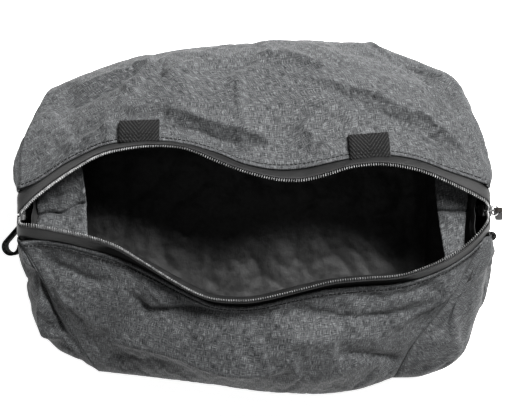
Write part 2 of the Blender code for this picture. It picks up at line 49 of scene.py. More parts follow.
# Cloth and zip sizes, in millimetres.
CELL = 1.5  # distance between two neighbouring points of a panel
RIM_STEPS = (0, 0.5, 1.1, 1.8, 2.5, 3.2, 4.0, 5.0, 6.4)  # rows of points next to a lip, measured from it
CLOTH_THICKNESS = 0.6
LINING_THICKNESS = 0.3
LINING_DEPTH = 2.2
LINING_PUFF = 5.5  # how far an end lining stands off behind the zip's closed tail
PIN_BAND = 7.0  # how far in from a seam the cloth is held
WRINKLE_CAP = 3.5  # the furthest that a point may move in the simulation
SIM_FRAMES = 22
CLOTH_SETTINGS = {
    "quality": 6,
    "mass": 0.0004,
    "vertex_group_mass": "held",
    "shrink_min": -0.016,  # the cloth is cut this share larger than the seams that hold it
    "tension_stiffness": 12,
    "compression_stiffness": 12,
    "shear_stiffness": 6,
    "bending_stiffness": 0.12,
    "air_damping": 3,
}
LONG_PANEL = 270.0  # rough lengths that set how many points a row has
END_WING = 80.0
END_CREASES = (34.0, 2.2)  # distance between creases, and their height
LONG_CREASES = (46.0, 1.4)
HEM_WIDTH = 5.4
HEM_HEIGHT = 1.1
STITCH_LINE = 3.2  # from the lip; one of RIM_STEPS
STITCH_LENGTH = 2.0
STITCH_PITCH = 2.7
TAPE_WIDTH = 13.5
TAPE_EDGE = 0.75  # from the zip's centre line to each tape's inner edge, where the zip is closed
TAPE_THICKNESS = 0.6
TAPE_STEPS = 10  # sections between two lip stations
COIL_PITCH = 1.55
NOTCH_HALF = 14.3
SEAM_HALF = 14.0

ZIP_Y_LEFT = 1.0
ZIP_Y_RIGHT = 3.8
TAIL_TOP_X = 150.5
TAIL_TOP_Z = 88.0
TAIL_BOTTOM_Z = 46.8
TAIL_LEAN = math.radians(8.0)
SLIDER_Z = 84.0

WEBBING_WIDTH = 25.4
LOOP_WIDTH = 20.0
TAB_THICKNESS = 1.0
LOOP_THICKNESS = 2.0
# The webbing's weave, in metres: pitch and slope of its ribs, and pitch of its threads.
RIB_PITCH = 0.0029
RIB_SLOPE = 1.3
THREAD_PITCH = 0.0008

CAMERA_Y = 4.7
CAMERA_HEIGHT = 1245.0
CAMERA_LENS = 128.5
SURROUND_STRENGTH = 0.195
FLOOR_HALF = 3000.0
FLOOR_Z = -0.4
FOLD_STRENGTH = 3.0
FOLD_HEIGHT = 78.0  # the height at which the folds' lines are drawn
UPPER_PART = (44.0, 62.0)  # heights between which folds and wrinkles grow, above the panels' widest line

CORE_LOW = np.array((-100.0, -62.0, 30.0))
CORE_HIGH = np.array((100.0, 62.0, 72.0))

HIPS = {
    "front_left": [(-112, -84, 0), (-102, -103, 45), (-116, -78, 66), (-133, -45, 80),
                   (-147.8, -16.2, 92.2)],
    "front_right": [(88, -92, 0), (92, -107, 48), (104, -84, 68), (128, -51, 81), (147.6, -13.2, 92.2)],
    "back_left": [(-113, 80, 0), (-131, 86, 45), (-141, 68, 64), (-149, 45, 79), (-148.7, 17.3, 92.4)],
    "back_right": [(72, 93, 0), (75, 115, 46), (96, 98, 64), (131, 68, 80), (147.7, 20.1, 92.4)],
}
FRONT_ROWS = [
    [(-60, -91, 0), (0, -95, 0), (50, -96, 0)],
    [(-64, -107, 45), (-31, -110, 45), (4, -114, 45), (41, -117, 45), (70, -114, 46)],
    [(-66, -96, 70), (-30, -103, 72), (4, -107, 74), (45, -107, 74), (80, -97, 72)],
    [(-80, -64, 88), (-40, -79, 93), (4, -86, 95), (50, -80, 94), (90, -69, 90)],
]
BACK_ROWS = [
    [(-60, 90, 0), (0, 94, 0), (50, 94, 0)],
    [(-112, 94, 45), (-88, 102, 45), (-57, 108.5, 45), (-25, 112.5, 45), (7, 114, 45), (39, 115, 45)],
    [(-92, 89, 71), (-50, 98, 75), (0, 104, 76), (50, 105, 75)],
    [(-95, 68, 88), (-50, 76, 92), (0, 76, 95), (50, 78, 95), (95, 76, 90)],
]
# Lip stations from left to right: coil edge x, y, then seam x, y, z. The tape's width sets the height
# of the coil.
FRONT_LIP = [
    (-147.5, -4.8, -149.2, -13.0, 91.8), (-137, -6, -137, -15, 93.5), (-122, -9, -121, -16.8, 96.5),
    (-107, -12, -104, -21, 99), (-87, -18.5, -85, -26.5, 101), (-70, -28.5, -67, -34.5, 102.5),
    (-54, -38.5, -51, -43, 103.5), (-40, -46.5, -37, -50, 104), (-27, -51.5, -25, -55, 104.5),
    (-12, -53, -10, -56.5, 104.5), (4, -52, 4, -55.5, 104.5), (32, -45.5, 32, -48.5, 104),
    (50, -41, 50, -45.2, 103.5), (70, -39, 70, -43.5, 103), (90, -37.5, 90, -42.5, 102),
    (106, -33, 104, -39.5, 101), (122, -26, 122, -32.5, 98.5), (137, -16, 138, -22.5, 94.5),
    (147.5, -4.5, 149.5, -10.2, 91.8),
]
BACK_LIP = [
    (-147.5, 2.5, -149.2, 15.0, 91.8), (-138, 12, -136, 22.5, 94), (-124, 22.5, -120, 33, 97.5),
    (-111, 31, -106, 40, 99.5), (-98, 38, -95, 44.5, 101), (-84, 42, -82, 46.8, 102.5),
    (-64, 44.5, -62, 47.5, 104), (-43, 43, -42, 45.3, 105), (-23, 35, -22, 39.5, 106),
    (-10, 30, -8, 33.5, 106), (5, 25.5, 7, 30, 106), (18, 23, 20, 29, 106), (32, 23, 33, 30.2, 106),
    (46, 26.5, 46, 33, 105.8), (60, 31, 60, 36, 105.3), (76, 33, 76, 38, 104.5), (90, 32, 90, 38, 103.5),
    (106, 28.5, 107, 34.5, 102), (122, 22, 123, 28.5, 99.5), (142, 12.5, 142, 22.3, 94),
    (148.5, 8, 149.5, 17.8, 91.8),
]
# The end panels' points between each hip and the zip's slot, row by row from the base up.
LEFT_WINGS = [
    ([(-118, -48, 0)], [(-118, 48, 0)]),
    ([(-114, -95, 45), (-130, -86, 45), (-141, -68, 45), (-146, -40, 45)],
     [(-146, 40, 46), (-141, 64, 45)]),
    ([(-131, -72, 67), (-145, -52, 68), (-150.5, -30, 69)], [(-152, 34, 70), (-148, 52, 67)]),
    ([(-143, -33, 82), (-149.5, -22, 83)], [(-153.5, 24, 83), (-153, 34, 81)]),
    ([(-149.5, -14.4, 91.5)], [(-150, 15.9, 91.8)]),
]
RIGHT_WINGS = [
    ([(108, -84, 0), (117, -50, 0)], [(117, 52, 0), (104, 84, 0)]),
    ([(112, -106, 45), (130, -98, 45), (140, -83, 45), (147, -58, 45), (148, -30, 45)],
     [(145, 44, 45), (141, 66, 45), (134, 88, 45), (114, 101, 45)]),
    ([(122, -86, 68), (139, -72, 67), (149.5, -50, 68), (153, -28, 69)],
     [(151, 38, 69), (146.5, 56, 67), (138, 77, 65), (119, 90, 64)]),
    ([(139, -48, 82), (149, -33, 82), (153.5, -20, 83)], [(153, 29, 83), (149.5, 45, 82), (142, 58, 81)]),
    ([(150.4, -11.4, 91.5)], [(150.3, 18.4, 91.8)]),
]
SLOT_PLACES = [(119.5, 0), (145.5, 46), (149.3, 70), (151.3, 83), (150.6, 91)]

# Each webbing tab: hinge point, direction along the lip, direction away from the lip, and length.
TABS = {
    "left": ((-72.1, 48.6, 103.9), (0.9968, 0.029, 0.0744), (0.0, 0.897, -0.4415), 12.0),
    "right": ((73.5, 38.5, 105.5), (0.9953, 0.0779, -0.0572), (0.0, 0.964, -0.265), 13.0),
}

# Each band across the mouth: its two corners at the front lip and at the back lip, its sag, the place,
# slope and wobble of its crease, and a seed for its wrinkles.
STAYS = {
    "left": (
        ((-139.5, -14.0, 92.3), (-105.5, -20, 97.0)), ((-139.5, 20.5, 92.8), (-109.5, 37.0, 97.5)),
        13.0, (0.40, 0.08, 0.03), 3.0,
    ),
    "right": (
        ((122.5, -31, 97.0), (134.5, -23, 94.5)), ((114.5, 31, 98.5), (138.0, 22, 93.8)),
        12.0, (0.55, 0.03, 0.004), 9.0,
    ),
}

# Folds: height outward, width, how much wider the left side of the line is than its right, and the line
# as it appears from the camera, scaled to a height of 78 mm.
FOLDS = {
    "front_panel": [
        (-1.0, 6, -0.4, [(-142, -22), (-130, -30), (-118, -36), (-104, -41), (-88, -44)]),
        (1.2, 6, 0.2, [(-136, -44), (-120, -54), (-104, -66), (-90, -74)]),
        (-2.8, 7, -0.5, [(-84, -44), (-76, -54), (-68, -61), (-46, -61), (-20, -61), (6, -60), (24, -61)]),
        (0.5, 3.5, 0.4, [(-74, -42), (-66, -48), (-58, -56), (-50, -64)]),
        (-1.6, 9, -0.4, [(10, -62), (36, -63), (60, -66), (82, -66), (102, -61), (120, -50)]),
        (1.9, 6, 0.45, [(-104, -79), (-76, -83), (-50, -89), (-20, -98), (6, -100), (30, -96)]),
        (-0.7, 9, 0.3, [(-98, -90), (-78, -92), (-56, -96), (-36, -103)]),
        (1.7, 6, 0.1, [(80, -78), (98, -68), (116, -56), (132, -42), (144, -30)]),
        (1.0, 8, 0.0, [(14, -80), (40, -81), (70, -80), (94, -76)]),
        (-1.5, 6, 0.2, [(50, -91), (66, -91), (88, -93), (98, -98)]),
        (1.0, 3, 0.0, [(22, -90), (26, -98), (30, -106)]),
        (-1.0, 5, -0.3, [(60, -49), (84, -51), (104, -48), (122, -40)]),
    ],
    "back_panel": [
        (2.6, 8, -0.65, [(-128, 42), (-106, 51), (-90, 59), (-76, 70), (-64, 80), (-52, 91), (-40, 98),
                         (-32, 104)]),
        (-2.2, 5, 0.1, [(-130, 64), (-120, 72), (-106, 79), (-92, 86), (-78, 93), (-64, 99)]),
        (1.0, 5, 0.2, [(-120, 80), (-104, 87), (-84, 95), (-64, 102)]),
        (1.6, 4, 0.5, [(-84, 78), (-77, 86), (-70, 94), (-60, 100)]),
        (-2.0, 5, 0.0, [(-80, 68), (-72, 78), (-64, 87), (-54, 95)]),
        (1.9, 8, 0.5, [(-66, 68), (-52, 67), (-40, 64), (-20, 58), (2, 52), (20, 45)]),
        (-1.4, 5, 0.0, [(-62, 58), (-44, 56), (-22, 50), (0, 45)]),
        (-1.4, 4, 0.0, [(-118, 46), (-104, 52), (-92, 55)]),
        (1.3, 5, 0.5, [(-2, 104), (14, 104), (28, 102), (42, 97), (52, 92)]),
        (1.8, 8, 0.6, [(26, 92), (52, 85), (78, 78), (96, 68), (108, 65), (118, 58), (130, 47), (144, 36)]),
        (-1.3, 5, 0.0, [(34, 84), (56, 79), (74, 72), (92, 63), (106, 58), (116, 51), (128, 41),
                        (140, 33)]),
        (-0.7, 2.5, 0.0, [(60, 79), (64, 73), (70, 70), (77, 73)]),
        (1.2, 6, 0.0, [(30, 62), (38, 52), (44, 44)]),
        (1.3, 9, 0.0, [(-14, 96), (-10, 84), (-8, 70), (-8, 60)]),
    ],
    "left_end_panel": [
        (1.1, 3.5, 0.2, [(-152, -10), (-146, -25), (-140, -35), (-138, -48), (-138, -62), (-134, -80),
                         (-132, -90)]),
        (-3.0, 6, 0.0, [(-142, -26), (-135, -40), (-130, -56), (-124, -70), (-116, -80)]),
        (1.2, 3.5, 0.0, [(-140, -74), (-131, -77), (-124, -79), (-117, -84), (-106, -94)]),
        (-2.0, 5, 0.0, [(-116, -74), (-110, -84), (-104, -94)]),
    ],
    "right_end_panel": [
        (0.4, 7, 0.3, [(152, -18), (147, -44), (141, -70), (130, -94)]),
        (-2.4, 5, 0.0, [(140, -36), (128, -50), (120, -62), (110, -76)]),
        (-3.4, 6, 0.0, [(84, 114), (97, 106), (109, 96), (120, 86), (129, 77), (136, 68)]),
    ],
}
# How far each hip's seam stands out: pinched seams stand up, and one is pulled in.
SEAM_RIDGES = {"front_left": 0.9, "front_right": -1.6, "back_left": 0.6, "back_right": 1.6}
PANEL_HIPS = {
    "front_panel": ("front_left", "front_right"),
    "back_panel": ("back_left", "back_right"),
    "left_end_panel": ("front_left", "back_left"),
    "right_end_panel": ("front_right", "back_right"),
}


# ---- curves and grids


def unit(vectors):
    """Vectors scaled to length one."""
    return vectors / np.maximum(np.linalg.norm(vectors, axis=-1, keepdims=True), 1e-12)


def smooth(value, low, high):
    """0 below low, 1 above high, and a smooth step in between."""
    t = np.clip((value - low) / (high - low), 0.0, 1.0)
    return t * t * (3 - 2 * t)


def curve(points, t):
    """Points on the smooth curve through control points, where t counts them from 0."""
    points = np.asarray(points, float)
    t = np.asarray(t, float)
    k = np.clip(t.astype(int), 0, len(points) - 2)
    f = (t - k).reshape((-1,) + (1,) * (points.ndim - 1))
    before = 2 * points[:1] - points[1:2]
    after = 2 * points[-1:] - points[-2:-1]
    padded = np.concatenate([before, points, after])
    p0, p1, p2, p3 = (padded[k + i] for i in range(4))
    return 0.5 * (
        2 * p1
        + (p2 - p0) * f
        + (2 * p0 - 5 * p1 + 4 * p2 - p3) * f**2
        + (3 * p1 - p0 - 3 * p2 + p3) * f**3
    )


def between_rows(rows):
    """Rows of a grid with one more row between each two."""
    return curve(rows, np.arange(2 * len(rows) - 1) / 2)


def blurred(grid, passes):
    """A grid of vectors averaged with its neighbours, several times over."""
    for _ in range(passes):
        for _ in range(2):
            grid = np.swapaxes(grid, 0, 1)
            padded = np.concatenate([grid[:1], grid, grid[-1:]])
            grid = (padded[:-2] + padded[1:-1] + padded[2:]) / 3
    return grid


def lengths_along(points, axis=0):
    """Distance from the first point to each point along an axis of a grid."""
    steps = np.linalg.norm(np.diff(points, axis=axis), axis=-1)
    first = np.zeros_like(np.take(steps, [0], axis=axis))
    return np.concatenate([first, np.cumsum(steps, axis=axis)], axis=axis)


def between(places, along, rows):
    """Vectors read off rows of vectors at some distances along them."""
    return np.stack([np.interp(places, along, rows[:, k]) for k in range(3)], axis=1)


def even(points, start, end, count):
    """count + 1 curve parameters from start to end, evenly spaced by length."""
    fine = np.linspace(start, end, 201)
    along = lengths_along(curve(points, fine))
    return np.interp(np.linspace(0, along[-1], count + 1), along, fine)


def sample_row(points, marks, counts):
    """Points along one outline row, with a column pinned at each marked control point."""
    parts = [even(points, a, b, n) for a, b, n in zip(marks, marks[1:], counts)]
    t = np.concatenate([part[:-1] for part in parts] + [parts[-1][-1:]])
    return curve(points, t)


def even_cells(length):
    """An even number of cells, each about CELL long."""
    return 2 * max(1, round(length / CELL / 2))


def level_steps(column, rim):
    """Curve parameters up a panel: even cells, with closer rows next to the lip if rim is true."""
    fine = np.linspace(0, len(column) - 1, 401)
    along = lengths_along(curve(column, fine))
    total = along[-1]
    near_lip = RIM_STEPS if rim else (0,)
    rest = total - near_lip[-1]
    count = even_cells(rest)
    wanted = list(np.linspace(0, rest, count + 1)) + [total - d for d in near_lip[-2::-1]]
    return np.interp(wanted, along, fine)


def outward_normals(points, side):
    """Unit normals of a grid; side is 1 or -1 so that they point out of the bag."""
    return unit(np.cross(np.gradient(points, axis=1), np.gradient(points, axis=0))) * side


def inward(points):
    """Directions from points on the bag's outside towards its core."""
    return unit(np.clip(points, CORE_LOW, CORE_HIGH) - points)


# ---- the panels' shapes


def long_rows(name, rows, lip):
    """The rows of the front or back panel from its left hip to its right hip."""
    left, right = HIPS[name + "_left"], HIPS[name + "_right"]
    seam = [(x, y, z) for _, _, x, y, z in lip[1:-1]]
    return [[left[level]] + row + [right[level]] for level, row in enumerate(rows + [seam])]


def end_rows(side, front_hip, back_hip, zip_y, wings):
    """The rows of an end panel and, for each, where the zip's slot begins in it."""
    rows = []
    slots = []
    for level, (x, z) in enumerate(SLOT_PLACES):
        front_wing, back_wing = wings[level]
        edges = [(side * x, zip_y - NOTCH_HALF, z), (side * x, zip_y + NOTCH_HALF, z)]
        rows.append([HIPS[front_hip][level]] + front_wing + edges + back_wing + [HIPS[back_hip][level]])
        slots.append(len(front_wing) + 1)
    return rows, slots


def panel_points(rows, slots, counts, rim):
    """A panel's grid of points, rows from the base up."""
    sampled = []
    for row, slot in zip(rows, slots):
        marks = [0, len(row) - 1] if slot is None else [0, slot, slot + 1, len(row) - 1]
        sampled.append(sample_row(row, marks, counts))
    sampled = np.array(sampled)
    return curve(sampled, level_steps(sampled[:, sampled.shape[1] // 2], rim))


def seam_distance(points, slot_columns):
    """How far each point of a grid is from the nearest seam, the zip's slot among them."""
    across = lengths_along(points, axis=1)
    up = lengths_along(points, axis=0)
    nearest = np.minimum.reduce([across, across[:, -1:] - across, up, up[-1:] - up])
    for column in slot_columns:
        from_slot = np.abs(across - across[:, column : column + 1])
        nearest = np.where(points[..., 2] > 20, np.minimum(nearest, from_slot), nearest)
    return nearest


def seen_from_camera(points):
    """Where points appear in plan from the camera, scaled to the folds' height."""
    centre = np.array((0.0, CAMERA_Y))
    scale = (CAMERA_HEIGHT - FOLD_HEIGHT) / (CAMERA_HEIGHT - points[..., 2:])
    return centre + (points[..., :2] - centre) * scale


def clear_of_tabs(points):
    """0 under the two webbing tabs and 1 away from them."""
    clear = np.ones(points.shape[:-1])
    for start, _, run, length in TABS.values():
        centre = np.array(start) + np.array(run) * length / 2
        across = smooth(np.abs(points[..., 0] - centre[0]), 13, 22)
        beyond = smooth(np.abs(points[..., 1] - centre[1]), 9, 17)
        clear = np.minimum(clear, np.maximum(across, beyond))
    return np.where(points[..., 2] > 60, clear, 1.0)


def fold_height(points, folds):
    """How far each point stands out for a list of folds."""
    total = np.zeros(points.shape[:-1])
    plan = seen_from_camera(points)
    for height, width, lean, line in folds:
        line = curve(line, np.linspace(0, len(line) - 1, 6 * len(line)))
        nearest = np.full(total.shape, 1e9)
        side = np.zeros(total.shape)
        share = np.zeros(total.shape)
        reached = lengths_along(line)
        for k in range(len(line) - 1):
            run = line[k + 1] - line[k]
            size = np.linalg.norm(run)
            t = np.clip((plan - line[k]) @ run / size**2, 0, 1)
            away = plan - line[k] - t[..., None] * run
            distance = np.linalg.norm(away, axis=-1)
            nearer = distance < nearest
            nearest = np.where(nearer, distance, nearest)
            side = np.where(nearer, np.sign(run[0] * away[..., 1] - run[1] * away[..., 0]), side)
            share = np.where(nearer, (reached[k] + t * size) / reached[-1], share)
        spread = width * (1 + lean * side)
        fade = smooth(np.minimum(share, 1 - share), 0.0, 0.22)
        total += FOLD_STRENGTH * height * fade * np.exp(-((nearest / spread) ** 1.15))
    return total * smooth(points[..., 2], *UPPER_PART)


def crumple(points, size, seed):
    """Creased noise from 0 to about 1 at each point of a grid, with creases about size apart."""
    start = Vector((seed, 0, 0))
    flat = (Vector(p) + start for p in points.reshape(-1, 3) / size)
    values = [noise.turbulence(p, 3, True, noise_basis="PERLIN_ORIGINAL") for p in flat]
    return np.array(values).reshape(points.shape[:-1])


def set_all(target, settings):
    """Sets attributes from a dictionary."""
    for key, value in settings.items():
        setattr(target, key, value)


def linked(name, data):
    """A new object in the scene that holds a mesh, a lamp or the camera."""
    made = bpy.data.objects.new(name, data)
    bpy.context.scene.collection.objects.link(made)
    return made


def settle(points, faces, held):
    """Cloth simulation of a panel cut a little larger than the seams that hold it, so that it wrinkles."""
    flat = points.reshape(-1, 3)
    mesh = bpy.data.meshes.new("cloth")
    mesh.from_pydata(flat * MM, [], faces)
    piece = linked("cloth", mesh)
    group = piece.vertex_groups.new(name="held")
    group.add([int(i) for i in np.flatnonzero(held.ravel())], 1.0, "REPLACE")
    cloth = piece.modifiers.new("cloth", "CLOTH")
    set_all(cloth.settings, CLOTH_SETTINGS)
    cloth.settings.effector_weights.gravity = 0.25
    cloth.point_cache.frame_start = 1
    cloth.point_cache.frame_end = SIM_FRAMES
    scene = bpy.context.scene
    for step in range(1, SIM_FRAMES + 1):
        scene.frame_set(step)
    shape = piece.evaluated_get(bpy.context.evaluated_depsgraph_get()).data
    moved = np.empty(len(flat) * 3, np.float32)
    shape.vertices.foreach_get("co", moved)
    bpy.data.objects.remove(piece)
    scene.frame_set(1)
    shift = moved.reshape(-1, 3) / MM - flat
    size = np.linalg.norm(shift, axis=1, keepdims=True)
    shift *= np.minimum(1.0, WRINKLE_CAP / np.maximum(size, 1e-9))
    return (flat + shift).reshape(points.shape)


def grid_faces(shape, flip, keep=None):
    """Quads over a grid of points, leaving out the cells for which keep is false."""
    index = np.arange(math.prod(shape)).reshape(shape)
    quads = np.stack([index[:-1, :-1], index[:-1, 1:], index[1:, 1:], index[1:, :-1]], axis=-1)
    quads = quads.reshape(-1, 4) if keep is None else quads[keep]
    return quads[:, ::-1] if flip else quads


# ---- making pieces


def finish_piece(name, vertices, faces, look, body, uv=None, nodes=(), smooth_angle=None):
    """A shown mesh in millimetres with its material, riding on a body and standing for CAD nodes."""
    mesh = bpy.data.meshes.new(name)
    mesh.from_pydata(np.asarray(vertices, float) * MM, [], faces)
    mesh.validate()
    mesh.shade_smooth()
    if smooth_angle is not None:
        mesh.set_sharp_from_angle(angle=math.radians(smooth_angle))
    if uv is not None:
        layer = mesh.uv_layers.new(name="UVMap")
        corners = np.empty(len(mesh.loops), int)
        mesh.loops.foreach_get("vertex_index", corners)
        layer.data.foreach_set("uv", np.asarray(uv, np.float32)[corners].ravel())
    mesh.materials.append(LOOKS[look])
    piece = linked(name, mesh)
    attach(piece, body)
    for node in nodes:
        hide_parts(node)
    return piece


def modify(piece, kind, **settings):
    """Adds a modifier with its settings."""
    set_all(piece.modifiers.new(kind.lower(), kind), settings)


def round_edges(piece, width):
    """Rounds a piece's sharp edges by a width in millimetres."""
    modify(piece, "BEVEL", width=width * MM, segments=3, limit_method="ANGLE")


def thicken(piece, thickness, offset=-1.0):
    """Gives a one-layer piece its real thickness."""
    modify(piece, "SOLIDIFY", thickness=thickness * MM, offset=offset, use_even_offset=False)


def grid_piece(name, points, look, flip=False, keep=None, body="bag", nodes=(), uv=None):
    """A one-layer piece over a grid of points; its UVs are distances in metres."""
    if uv is None:
        across = lengths_along(points, axis=1)
        up = lengths_along(points, axis=0)
        uv = np.stack([across - across[:, -1:] / 2, up], axis=-1) * MM
    used, renumbered = np.unique(grid_faces(points.shape[:2], flip, keep), return_inverse=True)
    faces = renumbered.reshape(-1, 4).tolist()
    flat_uv = uv.reshape(-1, 2)[used]
    return finish_piece(name, points.reshape(-1, 3)[used], faces, look, body, flat_uv, nodes)


def cloth_sheet(name, node, shown, flip, keep=None):
    """A piece of cloth with its thickness, shown over one grid."""
    lining = "lining" in node
    look = "black_lining" if lining else "heather_fabric"
    piece = grid_piece(name, shown, look, flip, keep, nodes=(node,))
    thicken(piece, LINING_THICKNESS if lining else CLOTH_THICKNESS)


def tube_sides(turn, rings):
    """Quads between rings of points, each with turn points."""
    return [
        (a + k, a + (k + 1) % turn, a + (k + 1) % turn + turn, a + k + turn)
        for a in range(0, (rings - 1) * turn, turn)
        for k in range(turn)
    ]


def tube_ends(turn, rings):
    """The faces that close a tube's first and last ring."""
    return [tuple(range(turn))[::-1], tuple(range((rings - 1) * turn, rings * turn))]


BEAD_SIDES = 8
BEAD_RINGS = ((-0.5, 0.5), (-0.4, 0.9), (-0.25, 1.0), (0.25, 1.0), (0.4, 0.9), (0.5, 0.5))


def beads(name, centres, forward, up, size, look, body="bag"):
    """Many small rounded bars in one mesh, such as stitches or zip teeth; size is length, width, height."""
    angles = np.arange(BEAD_SIDES) * math.tau / BEAD_SIDES
    template = [(x, 0.5 * r * math.cos(a), 0.5 * r * math.sin(a)) for x, r in BEAD_RINGS for a in angles]
    template = np.array(template) * np.array(size)
    side = unit(np.cross(up, forward))
    up = np.cross(forward, side)
    vertices = (
        centres[:, None]
        + template[None, :, :1] * forward[:, None]
        + template[None, :, 1:2] * side[:, None]
        + template[None, :, 2:] * up[:, None]
    )
    count = len(template)
    bead = tube_sides(BEAD_SIDES, len(BEAD_RINGS)) + tube_ends(BEAD_SIDES, len(BEAD_RINGS))
    starts = range(0, count * len(centres), count)
    faces = [tuple(start + k for k in face) for start in starts for face in bead]
    return finish_piece(name, vertices.reshape(-1, 3), faces, look, body)


def stitch_row(name, line, up, body="bag", thread=0.8):
    """A row of stitches along a line of points."""
    along = lengths_along(line)
    places = np.arange(STITCH_PITCH, along[-1] - STITCH_PITCH, STITCH_PITCH)
    centres = between(places, along, line)
    ahead = between(places + 1, along, line)
    normals = unit(between(places, along, up))
    size = (STITCH_LENGTH, thread, thread)
    return beads(name, centres, unit(ahead - centres), normals, size, "webbing", body)


# ---- materials


class Nodes:
    """A node material under construction; each call adds one node and returns its output."""

    def __init__(self, name):
        self.material = bpy.data.materials.new(name)
        self.material.use_nodes = True
        self.tree = self.material.node_tree
        self.shader = self.tree.nodes["Principled BSDF"]

    def add(self, kind, inputs=(), output=0, **settings):
        made = self.tree.nodes.new("ShaderNode" + kind)
        set_all(made, settings)
        for key, value in dict(inputs).items():
            self.feed(made.inputs[key], value)
        return made.outputs[output]

    def feed(self, socket, value):
        if isinstance(value, bpy.types.NodeSocket):
            self.tree.links.new(value, socket)
        else:
            socket.default_value = value

    def uv(self, scale):
        source = self.add("UVMap", uv_map="UVMap")
        return self.add("Mapping", {"Vector": source, "Scale": scale})

    def noise(self, vector, detail=2.0, roughness=0.5):
        inputs = {"Vector": vector, "Scale": 1.0, "Detail": detail, "Roughness": roughness}
        return self.add("TexNoise", inputs)

    def flat_noise(self, across, along, **settings):
        return self.noise(self.uv((across, along, 1)), **settings)

    def solid_noise(self, *scale, **settings):
        source = self.add("TexCoord", output=3)
        return self.noise(self.add("Mapping", {"Vector": source, "Scale": scale}), **settings)

    def math(self, operation, a, b=0.0):
        return self.add("Math", {0: a, 1: b}, operation=operation)

    def scaled(self, value, factor, start):
        made = self.math("MULTIPLY_ADD", value, factor)
        self.feed(made.node.inputs[2], start)
        return made

    def ramp(self, factor, stops):
        made = self.add("ValToRGB", {0: factor})
        points = made.node.color_ramp.elements
        while len(points) < len(stops):
            points.new(0.5)
        for point, (position, colour) in zip(points, stops):
            point.position = position
            point.color = (*colour, 1.0)
        return made

    def greys(self, factor, *stops):
        return self.ramp(factor, [(position, grey(*tone)) for position, *tone in stops])

    def bump(self, height, strength, distance):
        made = self.add("Bump", {"Height": height, "Strength": strength, "Distance": distance})
        self.feed(self.shader.inputs["Normal"], made)

    def done(self, colour, **numbers):
        self.feed(self.shader.inputs["Base Color"], colour)
        for key, value in numbers.items():
            self.feed(self.shader.inputs[key.replace("_", " ")], value)
        return self.material


def grey(value, warmth=0.0):
    """A grey colour, slightly warm or cool."""
    return (value * (1 + warmth), value, value * (1 - warmth))


def heather_fabric():
    """Coated two-tone plain weave: broken light and dark threads both ways, with cloudy dye."""
    n = Nodes("heather_fabric")
    warp = n.flat_noise(3000, 210, detail=1.0)
    weft = n.flat_noise(210, 3000, detail=1.0)
    fleck = n.flat_noise(2600, 2600, detail=0.0)
    cloud = n.flat_noise(18, 18, detail=4.0)
    threads = n.math("ADD", warp, weft)
    mixed = n.scaled(fleck, 0.3, threads)
    toned = n.scaled(cloud, 0.2, mixed)
    value = n.math("MULTIPLY", toned, 1 / 2.5)
    stops = ((0.38, 0.008, -0.05), (0.46, 0.024, -0.04), (0.54, 0.062, -0.03), (0.61, 0.13, -0.02))
    colour = n.greys(value, *stops)
    waves = []
    for direction in "XY":
        inputs = {"Vector": n.uv((1, 1, 1)), "Scale": 1100.0}
        waves.append(n.add("TexWave", inputs, output=1, bands_direction=direction))
    weave = n.math("ADD", *waves)
    height = n.math("ADD", n.math("MULTIPLY", weave, 0.25), threads)
    n.bump(height, 0.35, 0.00025)
    rough = n.scaled(cloud, 0.25, 0.5)
    return n.done(colour, Roughness=rough, Specular_IOR_Level=0.12, Sheen_Weight=0.02)


def black_lining():
    """Thin coated black lining with a slight sheen and fine creases."""
    n = Nodes("black_lining")
    fine = n.flat_noise(260, 260, detail=5.0, roughness=0.65)
    threads = n.flat_noise(1800, 300, detail=2.0)
    colour = n.greys(fine, (0.3, 0.013), (0.7, 0.034))
    height = n.math("ADD", fine, n.math("MULTIPLY", threads, 0.3))
    n.bump(height, 0.5, 0.0006)
    rough = n.scaled(fine, 0.3, 0.38)
    return n.done(colour, Roughness=rough, Specular_IOR_Level=0.25)


def zip_tape():
    """Matte dark film over the zip's tape, with a faint grain and scuffs."""
    n = Nodes("zip_tape")
    grain = n.flat_noise(900, 900, detail=3.0)
    scuff = n.flat_noise(40, 160, detail=4.0, roughness=0.6)
    value = n.math("ADD", n.math("MULTIPLY", grain, 0.35), n.math("MULTIPLY", scuff, 0.65))
    colour = n.greys(value, (0.35, 0.006), (0.55, 0.010), (0.72, 0.018))
    n.bump(grain, 0.25, 0.0002)
    rough = n.scaled(scuff, 0.25, 0.42)
    return n.done(colour, Roughness=rough, Specular_IOR_Level=0.2)


def zip_coil():
    """Black nylon monofilament, coloured light grey in random patches as a painted highlight for the glints
    on its teeth.
    """
    n = Nodes("zip_coil")
    glint_tone = n.solid_noise(300, 300, 300, detail=2.0)
    # painted highlight: the teeth get a light grey far above black nylon, so they read as bright glinting
    # dashes
    colour = n.greys(glint_tone, (0.35, 0.07), (0.65, 0.22))
    n.bump(glint_tone, 0.2, 0.0001)
    return n.done(colour, Roughness=0.24, Specular_IOR_Level=0.8)


def webbing():
    """Black herringbone webbing: ribs that turn at the middle of the width, with fuzzy threads."""
    n = Nodes("webbing")
    across, along, _ = n.add("SeparateXYZ", {0: n.add("UVMap", uv_map="UVMap")}).node.outputs
    slope = n.math("MULTIPLY", n.math("ABSOLUTE", across), RIB_SLOPE)
    slant = n.math("ADD", along, slope)
    ribs = n.math("SINE", n.math("MULTIPLY", slant, math.tau / RIB_PITCH))
    cross = n.math("SINE", n.math("MULTIPLY", across, math.tau / THREAD_PITCH))
    fuzz = n.flat_noise(1500, 1500, detail=3.0)
    tone = n.scaled(ribs, 0.13, fuzz)
    colour = n.greys(tone, (0.32, 0.001), (0.52, 0.005), (0.7, 0.022))
    height = n.math("ADD", ribs, n.math("MULTIPLY", cross, 0.3))
    n.bump(height, 0.5, 0.0004)
    return n.done(colour, Roughness=0.78, Specular_IOR_Level=0.12, Sheen_Weight=0.03)


